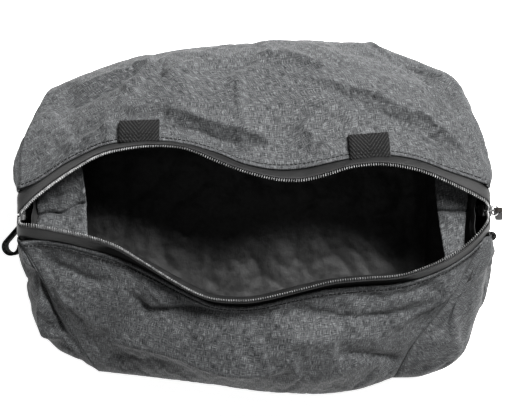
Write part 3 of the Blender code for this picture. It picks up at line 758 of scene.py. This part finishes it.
def slider_metal():
    """Black painted casting, rubbed through to bright metal in places."""
    n = Nodes("slider_metal")
    patches = n.solid_noise(420, 420, 420, detail=4.0, roughness=0.65)
    worn = n.math("GREATER_THAN", patches, 0.66)
    colour = n.greys(patches, (0.40, 0.012), (0.58, 0.03), (0.66, 0.09), (0.74, 0.42))
    n.bump(patches, 0.25, 0.0001)
    rough = n.scaled(patches, 0.3, 0.25)
    return n.done(colour, Roughness=rough, Metallic=worn)


def ring_metal():
    """Bright steel with fine drawn lines."""
    n = Nodes("ring_metal")
    lines = n.solid_noise(1800, 200, 1800, detail=2.0)
    colour = n.greys(lines, (0.3, 0.42), (0.7, 0.68))
    n.bump(lines, 0.15, 0.00005)
    rough = n.scaled(lines, 0.2, 0.15)
    return n.done(colour, Roughness=rough, Metallic=1.0)


def pull_rubber():
    """Dark moulded rubber with a fine spark-eroded grain."""
    n = Nodes("pull_rubber")
    grain = n.solid_noise(1400, 1400, 1400, detail=2.0)
    dust = n.solid_noise(140, 140, 140, detail=3.0)
    colour = n.ramp(dust, [(0.35, (0.006, 0.005, 0.004)), (0.7, (0.015, 0.012, 0.010))])
    n.bump(grain, 0.3, 0.00015)
    return n.done(colour, Roughness=0.7, Specular_IOR_Level=0.12)


def floor_paper():
    """Plain pale studio floor."""
    n = Nodes("floor_paper")
    grain = n.solid_noise(30, 30, 30, detail=2.0)
    colour = n.greys(grain, (0.2, 0.86), (0.8, 0.9))
    return n.done(colour, Roughness=0.9, Emission_Color=(1.0, 1.0, 1.0, 1.0), Emission_Strength=0.84)


MAKERS = (heather_fabric, black_lining, zip_tape, zip_coil, webbing)
MAKERS += (slider_metal, ring_metal, pull_rubber, floor_paper)
LOOKS = {make.__name__: make() for make in MAKERS}


# ---- cloth panels


def build_panels():
    """The outer panels with their folds and wrinkles, each with its lining. Returns their final grids."""
    front = long_rows("front", FRONT_ROWS, FRONT_LIP)
    back = long_rows("back", BACK_ROWS, BACK_LIP)
    left, left_slots = end_rows(-1, "front_left", "back_left", ZIP_Y_LEFT, LEFT_WINGS)
    right, right_slots = end_rows(1, "front_right", "back_right", ZIP_Y_RIGHT, RIGHT_WINGS)
    wing, middle = even_cells(END_WING), even_cells(2 * NOTCH_HALF)
    plain = ([None] * 5, (even_cells(LONG_PANEL),), True)
    walls = {
        "front_panel": (panel_points(front, *plain), 1),
        "back_panel": (panel_points(back, *plain), -1),
        "left_end_panel": (panel_points(left, left_slots, (wing, middle, wing), False), -1),
        "right_end_panel": (panel_points(right, right_slots, (wing, middle, wing), False), 1),
    }
    finals = {}
    for seed, (name, (points, side)) in enumerate(walls.items()):
        is_end = "end" in name
        keep = None
        slot_columns = ()
        if is_end:
            slot_row = 2 * int(np.argmin(np.abs(points[::2, wing, 2] - SLOT_PLACES[1][1])))
            slot_columns = (wing, wing + middle)
            keep = np.ones((points.shape[0] - 1, points.shape[1] - 1), bool)
            keep[slot_row:, slice(*slot_columns)] = False
        finals[name] = wrinkled(name, points, side, keep, slot_columns, seed)
        show_panel(name, points, finals[name], side, keep)
    build_base(walls)
    return finals


def wrinkled(name, points, side, keep, slot_columns, seed):
    """A panel's points with its folds, its wrinkles, and the hem along its lip."""
    away = seam_distance(points, slot_columns)
    normals = outward_normals(points, side)
    free = smooth(away, 1.0, PIN_BAND + 4) * clear_of_tabs(points)
    height = fold_height(points, FOLDS[name]) * free
    is_end = "end" in name
    size, crease_height = END_CREASES if is_end else LONG_CREASES
    rough = crumple(points, size, seed * 7.3)
    calm = 0.2 + 0.8 * smooth(points[..., 2], *UPPER_PART)
    height += (rough - rough.mean()) * crease_height * free * calm
    shaped = points + normals * height[..., None]
    coarse = shaped[::2, ::2]
    coarse_keep = None if keep is None else keep[::2, ::2]
    faces = grid_faces(coarse.shape[:2], side < 0, coarse_keep).tolist()
    shift = settle(coarse, faces, away[::2, ::2] < PIN_BAND) - coarse
    shift = shift - blurred(shift, 40)
    shift = between_rows(np.swapaxes(between_rows(np.swapaxes(shift, 0, 1)), 0, 1))
    shaped = shaped + shift * (calm * clear_of_tabs(points))[..., None]
    shaped[..., 2] = np.maximum(shaped[..., 2], 0.2)
    if not is_end:
        up = lengths_along(points, axis=0)
        from_lip = up[-1:] - up
        hem = (1 - smooth(from_lip, HEM_WIDTH - 1.2, HEM_WIDTH)) * smooth(from_lip, -0.2, 0.6)
        groove = np.exp(-(((from_lip - STITCH_LINE) / 0.6) ** 2))
        shaped = shaped + normals * ((hem - 1.0 * groove) * HEM_HEIGHT)[..., None]
    across = lengths_along(points, axis=1)
    for hip, from_hip in zip(PANEL_HIPS[name], (across, across[:, -1:] - across)):
        ridge = np.exp(-((from_hip / 1.3) ** 2)) * smooth(points[..., 2], 44, 58)
        shaped = shaped - inward(points) * (ridge * SEAM_RIDGES[hip])[..., None]
    return shaped


def show_panel(name, points, final, side, keep):
    """The outer panel and its lining as two sheets."""
    under = -outward_normals(points, side)
    flip = side < 0
    outer_name = name + "_cloth"
    cloth_sheet(outer_name, name, final, flip, keep)
    creases = crumple(points, 26.0, 40.0)
    depth = LINING_DEPTH + creases * 3.6 * smooth(seam_distance(points, ()), 1, 10)
    if keep is not None:
        depth += behind_tail(points) * (LINING_PUFF + 3.0 * creases)
        near_top = smooth(points[..., 2:], 76, 85)
        centre = np.array((-np.sign(points[0, 0, 0]), 0.0, -0.2))
        under = unit(under * (1 - near_top) + centre * near_top)
    inner = final + under * depth[..., None]
    inner[..., 2] = np.maximum(inner[..., 2], 1.2)
    lining = name.replace("panel", "lining")
    cloth_sheet(lining + "_cloth", lining, inner, flip)


def behind_tail(points):
    """1 where an end lining hangs loose behind the zip's closed tail, and 0 away from it."""
    middle = np.where(points[..., 0] < 0, ZIP_Y_LEFT, ZIP_Y_RIGHT)
    beside = np.abs(points[..., 1] - middle)
    level = points[..., 2]
    in_slot = 1 - smooth(beside, SEAM_HALF, SEAM_HALF + 4)
    wider = (1 - smooth(beside, SEAM_HALF, SEAM_HALF + 16)) * (1 - smooth(level, 76, 86))
    return smooth(level, 24, 50) * np.maximum(in_slot, wider)


def build_base(walls):
    """The base between the four walls' lowest edges, and its lining."""
    low, high, west, east = (
        walls[name][0][0] for name in ("front_panel", "back_panel", "left_end_panel", "right_end_panel")
    )
    v = np.linspace(0, 1, len(west))[:, None, None]
    u = np.linspace(0, 1, len(low))[None, :, None]
    across = low[None] * (1 - v) + high[None] * v + west[:, None] * (1 - u) + east[:, None] * u
    corners = (low[0] * (1 - u) + low[-1] * u) * (1 - v) + (high[0] * (1 - u) + high[-1] * u) * v
    points = across - corners + UP * 0.15
    outer_name = "base_panel_cloth"
    cloth_sheet(outer_name, "base_panel", points, True)
    lift = LINING_DEPTH + crumple(points, 30.0, 90.0) * 3.0 * smooth(seam_distance(points, ()), 1, 10)
    inner = points + UP * lift[..., None]
    cloth_sheet("base_lining_cloth", "base_lining", inner, True)


# ---- zip


def tail_x(z):
    """How far out the closed zip's plane is at height z."""
    return TAIL_TOP_X - math.tan(TAIL_LEAN) * (TAIL_TOP_Z - z)


def tape_path(lip, side):
    """Coil-edge and seam-edge points of one tape: up the left tail, along the lip, down the right tail."""
    coil, seam = [], []
    for z in (TAIL_BOTTOM_Z, 64.0, 80.0, TAIL_TOP_Z - 3.0, TAIL_TOP_Z):
        coil.append((-tail_x(z), ZIP_Y_LEFT + side * TAPE_EDGE, z))
        seam.append((-tail_x(z), ZIP_Y_LEFT + side * SEAM_HALF, z - 2.0 * (z == TAIL_TOP_Z)))
    for coil_x, coil_y, seam_x, seam_y, seam_z in lip:
        level = math.hypot(coil_x - seam_x, coil_y - seam_y)
        coil.append((coil_x, coil_y, seam_z + math.sqrt(TAPE_WIDTH**2 - level**2)))
        seam.append((seam_x, seam_y, seam_z))
    for z in (TAIL_TOP_Z + 1.5, TAIL_TOP_Z - 2.0, 80.0, 64.0, TAIL_BOTTOM_Z):
        top = z > TAIL_TOP_Z
        coil.append((tail_x(z), ZIP_Y_RIGHT + side * TAPE_EDGE, z))
        seam.append((tail_x(z), ZIP_Y_RIGHT + side * SEAM_HALF, z - 3.0 * top))
    return np.array(coil, float), np.array(seam, float)


TUCK = 5.5  # how far the front tape is tucked in below the middle of its lip
BARE_TEETH = 1.9  # how far the teeth stand out of the film along the open lips
# The tape's cross-section: share of the way from its seam to its coil edge, and height.
TAPE_SECTION = ((-0.16, -1.7), (-0.04, -0.9), (0.08, -0.45), (0.22, -0.1), (0.38, 0.05), (0.62, 0.05))
TAPE_SECTION += ((0.8, 0.1), (0.94, 0.05), (1.0, -0.1))


def build_zip():
    """Two tapes, each with its row of coil teeth; the rows mesh where the zip is closed."""
    for name, lip, side in (("front", FRONT_LIP, -1), ("back", BACK_LIP, 1)):
        coil_path, seam_path = tape_path(lip, side)
        t = np.linspace(0, len(coil_path) - 1, (len(coil_path) - 1) * TAPE_STEPS + 1)
        edge, root = curve(coil_path, t), curve(seam_path, t)
        towards = unit(edge - root)
        run = np.gradient(edge + root, axis=0)
        normal = unit(np.cross(run, towards)) * -side
        is_open = smooth(edge[:, 2], TAIL_TOP_Z + 2, TAIL_TOP_Z + 9)
        reach = np.linalg.norm(edge - root, axis=1) - BARE_TEETH * is_open
        corner = smooth(np.abs(root[:, 0]), 142, 148) * smooth(root[:, 2], 83, 88)
        tuck = TUCK * smooth(edge[:, 0], -112, -84) * (1 - smooth(edge[:, 0], 84, 112)) * (side < 0)
        points = np.stack(
            [
                root
                + towards * (share * (1 - 0.5 * corner * (share < 0)) * reach)[:, None]
                + normal * (lift - tuck * math.sin(math.pi * min(max(share, 0), 0.9) / 0.9))[:, None]
                for share, lift in TAPE_SECTION
            ],
            axis=1,
        )
        nodes = (name + "_zip_tape",)
        tape = grid_piece(name + "_tape_film", points, "zip_tape", flip=side > 0, nodes=nodes)
        thicken(tape, TAPE_THICKNESS)
        along = lengths_along(edge)
        places = np.arange(COIL_PITCH, along[-1] - COIL_PITCH, COIL_PITCH)
        offset = COIL_PITCH / 2 * (side > 0)
        centre, forward, up = (between(places + offset, along, rows) for rows in (edge, towards, normal))
        forward, up = unit(forward), unit(up)
        on_lip = (centre[:, 2] > TAIL_TOP_Z + 4)[:, None]
        centre = centre + forward * np.where(on_lip, -1.3, -0.75) - up * np.where(on_lip, 0.8, 1.15)
        teeth = beads(name + "_teeth", centre, forward, up, (3.8, 0.68, 1.4), "zip_coil")
        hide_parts(name + "_zip_coil")


# ---- hems, stays, tabs and loops


def build_hem_stitches(panels):
    """The topstitching along each lip, just outside the tape."""
    row = -1 - RIM_STEPS.index(STITCH_LINE)
    for name, side in (("front_panel", 1), ("back_panel", -1)):
        final = panels[name]
        up = outward_normals(final, side)[row]
        stitch_row(name.replace("panel", "hem_stitches"), final[row] + up * 0.1, up)


def build_stay(side):
    """A fabric band across one end of the mouth, sewn under both lips, with a crease where it folds."""
    front_edge, back_edge, sag, (share, slope, wobble), seed = STAYS[side]
    a = np.linspace(0, 1, 17)[None, :, None]
    b = np.linspace(0, 1, 81)[:, None, None]
    front, back = np.array(front_edge, float), np.array(back_edge, float)
    points = (front[0] * (1 - a) + front[1] * a) * (1 - b) + (back[0] * (1 - a) + back[1] * a) * b
    droop = -sag * np.sin(math.pi * b) ** 0.8
    crease = -4.5 * np.exp(-np.abs(b - share - slope * a - wobble * np.sin(a * 9)) / 0.022)
    ends = smooth(np.minimum(b, 1 - b), 0, 0.12)
    rough = (crumple(points, 17.0, seed) - 0.5)[..., None] * 5.0
    points = points + UP * (droop + (crease + rough) * ends)
    cloth_sheet(side + "_stay_cloth", side + "_mouth_stay", points, False)


def ribbon(name, path, across, width, thickness, body, node):
    """A webbing strap along a path of points; across is the direction of its width."""
    path = np.array(path)
    columns = np.linspace(-0.5, 0.5, 9) * width
    points = path[:, None] + across * columns[:, None]
    uv = np.stack(np.broadcast_arrays(columns, lengths_along(path)[:, None]), axis=-1)
    piece = grid_piece(name, points, "webbing", body=body, nodes=(node,), uv=uv * MM)
    thicken(piece, thickness, offset=0.0)


def build_tab(side):
    """A folded webbing tab with its free ends sewn over the hem."""
    start, along, run, length = TABS[side]
    start, along, run = (np.array(v, float) for v in (start, along, run))
    run = unit(run - along * (run @ along))
    up = np.cross(along, run)
    turn = np.radians(np.linspace(-90, 90, 9))
    profile = [(-1.2, 0.5), (3.0, 0.55), (length * 0.6, 0.7), (length - 0.6, 0.55)]
    profile += [(length - 0.4 + 0.95 * math.cos(k), 1.5 + 0.95 * math.sin(k)) for k in turn]
    profile += [(length * 0.6, 2.75), (3.4, 2.5), (1.6, 2.1), (0.4, 1.9), (-1.0, 1.8), (-2.6, 1.5)]
    path = [start + run * a + up * b for a, b in profile]
    body = side + "_tab"
    ribbon(body + "_webbing", path, along, WEBBING_WIDTH, TAB_THICKNESS, body, side + "_webbing_tab")
    half = WEBBING_WIDTH / 2 - 1.6
    for row, (a, b) in enumerate(((0.5, 2.5), (2.6, 2.9))):
        line = np.array([start + along * w + run * a + up * b for w in np.linspace(-half, half, 24)])
        stitch_row(f"{body}_stitches_{row + 1}", line, np.broadcast_to(up, line.shape), body, 0.6)


def egg_path(root, tip, root_radius, tip_radius, arc=20):
    """A closed path round two circles of different size and their tangents."""
    root, tip = np.array(root, float), np.array(tip, float)
    reach = tip - root
    lean = math.acos((root_radius - tip_radius) / np.linalg.norm(reach))
    forward = math.atan2(reach[1], reach[0])
    angles = np.linspace(forward + lean, forward + math.tau - lean, arc)
    path = [root + np.array((math.cos(k), math.sin(k), 0)) * root_radius for k in angles]
    angles = np.linspace(forward - lean, forward + lean, arc)
    path += [tip + np.array((math.cos(k), math.sin(k), 0)) * tip_radius for k in angles]
    return path + path[:1]


def build_loops():
    """The two grab loops, upright webbing sewn into the end seams."""
    for side, root, tip, radii in (
        ("left", (-151.2, -7.0, 57.0), (-158.0, -19.8, 57.0), (1.7, 5.0)),
        ("right", (152.4, -13.6, 54.0), (155.6, -13.0, 54.0), (1.7, 2.0)),
    ):
        path = egg_path(root, tip, *radii)
        body = side + "_loop"
        ribbon(body + "_webbing", path, UP, LOOP_WIDTH, LOOP_THICKNESS, body, side + "_grab_loop")


# ---- slider


SLIDER_SPOT = np.array((tail_x(SLIDER_Z), ZIP_Y_RIGHT, SLIDER_Z))
PLATE = 1.0
OUTER_PLATE_X = 0.85
INNER_PLATE_X = -2.95
SHIELD = [(-2.6, -4.2), (2.6, -4.2), (3.6, -2.4), (4.0, 1.5), (3.4, 3.9), (1.6, 4.2), (0, 4.2)]


def from_slider(points):
    """Points in the slider's own frame (x out through the tape, z up the chain) to the bag's frame."""
    x, y, z = np.asarray(points, float).T
    c, s = math.cos(TAIL_LEAN), math.sin(TAIL_LEAN)
    return np.stack([x * c + z * s, y, z * c - x * s], axis=1) + SLIDER_SPOT


def box_outline(y_half, z_low, z_high):
    return [(-y_half, z_low), (y_half, z_low), (y_half, z_high), (-y_half, z_high)]


def casting(name, prisms, look, nodes, bevel):
    """Outlines in y and z of the slider's frame, each pulled along x, as one piece with rounded edges."""
    vertices, faces = [], []
    for outline, low, high in prisms:
        sides = tube_ends(len(outline), 2) + tube_sides(len(outline), 2)
        faces += [tuple(k + len(vertices) for k in face) for face in sides]
        vertices += [(x, y, z) for x in (low, high) for y, z in outline]
    places = from_slider(vertices)
    piece = finish_piece(name, places, faces, look, "slider", nodes=nodes, smooth_angle=40)
    round_edges(piece, bevel)


def build_slider():
    """The slider's casting, and its bright post between the two rows of teeth."""
    shield = SHIELD + [(-y, z) for y, z in reversed(SHIELD[2:-1])]
    top = OUTER_PLATE_X + PLATE
    back = INNER_PLATE_X - PLATE
    rim = ((3.45, -2.6), (3.95, -2.2), (3.95, 2.2), (3.45, 2.6))
    sides = [([(y * s, z) for y, z in rim][::s], back + 0.2, -1.1) for s in (1, -1)]
    prisms = [
        (shield, OUTER_PLATE_X, top),
        (shield, back, INNER_PLATE_X),
        *sides,
        (box_outline(0.8, -2.6, -1.7), top - 0.2, top + 2.6),
        (box_outline(0.8, 1.7, 2.6), top - 0.2, top + 2.6),
        (box_outline(0.8, -2.6, 2.6), top + 1.75, top + 2.65),
    ]
    casting("slider_casting", prisms, "slider_metal", ("slider_body",), 0.3)
    post = [(-0.3, -0.6), (0.3, -0.6), (0.55, 2.6), (0.45, 4.3), (-0.45, 4.3), (-0.55, 2.6)]
    casting("slider_post", [(post, INNER_PLATE_X - 0.3, OUTER_PLATE_X + 0.3)], "ring_metal", (), 0.12)


def dress_cad_nodes():
    """Rounds and paints the CAD nodes that stay in view."""
    for node, look, width in (
        ("pull_ring", "ring_metal", 0),
        ("pull_tab", "pull_rubber", 0.8),
        *((stop, "slider_metal", 0.25) for stop in ("front_top_stop", "back_top_stop", "bottom_stop")),
    ):
        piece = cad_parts[node]
        piece.data.materials.clear()
        piece.data.materials.append(LOOKS[look])
        if width:
            round_edges(piece, width)


# ---- stage and camera


def build_floor():
    """A large pale floor under the bag."""
    corners = np.array([(x, y, FLOOR_Z) for x, y in ((-1, -1), (1, -1), (1, 1), (-1, 1))])
    corners *= (FLOOR_HALF, FLOOR_HALF, 1.0)
    mesh = bpy.data.meshes.new("floor")
    mesh.from_pydata(corners * MM, [], [(0, 1, 2, 3)])
    mesh.materials.append(LOOKS["floor_paper"])
    linked("floor", mesh)


def area_light(name, place, size, power):
    """A soft square light aimed at the bag."""
    data = bpy.data.lights.new(name, "AREA")
    data.size = size
    data.energy = power
    lamp = linked(name, data)
    lamp.location = place
    aim = Vector((0.0, 0.0, 0.06)) - Vector(place)
    lamp.rotation_euler = aim.to_track_quat("-Z", "Y").to_euler()


def build_studio():
    """Soft light from behind and above, a pale surround, and the camera straight above."""
    area_light("key_light", (0.68, 0.95, 1.6), 0.7, 126.0)
    area_light("fill_light", (-0.7, -0.9, 1.9), 1.2, 2.0)
    scene = bpy.context.scene
    world = bpy.data.worlds.new("surround")
    world.use_nodes = True
    background = world.node_tree.nodes["Background"]
    background.inputs["Color"].default_value = (1.0, 1.0, 1.0, 1.0)
    background.inputs["Strength"].default_value = SURROUND_STRENGTH
    scene.world = world
    scene.view_settings.view_transform = "Standard"
    data = bpy.data.cameras.new("camera")
    data.sensor_width = 36.0
    data.lens = CAMERA_LENS
    data.clip_end = 20.0
    camera = linked("camera", data)
    camera.location = (0.0, CAMERA_Y * MM, CAMERA_HEIGHT * MM)
    scene.camera = camera


panels = build_panels()
build_zip()
build_hem_stitches(panels)
for end in STAYS:
    build_stay(end)
for tab_side in TABS:
    build_tab(tab_side)
build_loops()
build_slider()
dress_cad_nodes()
build_floor()
build_studio()
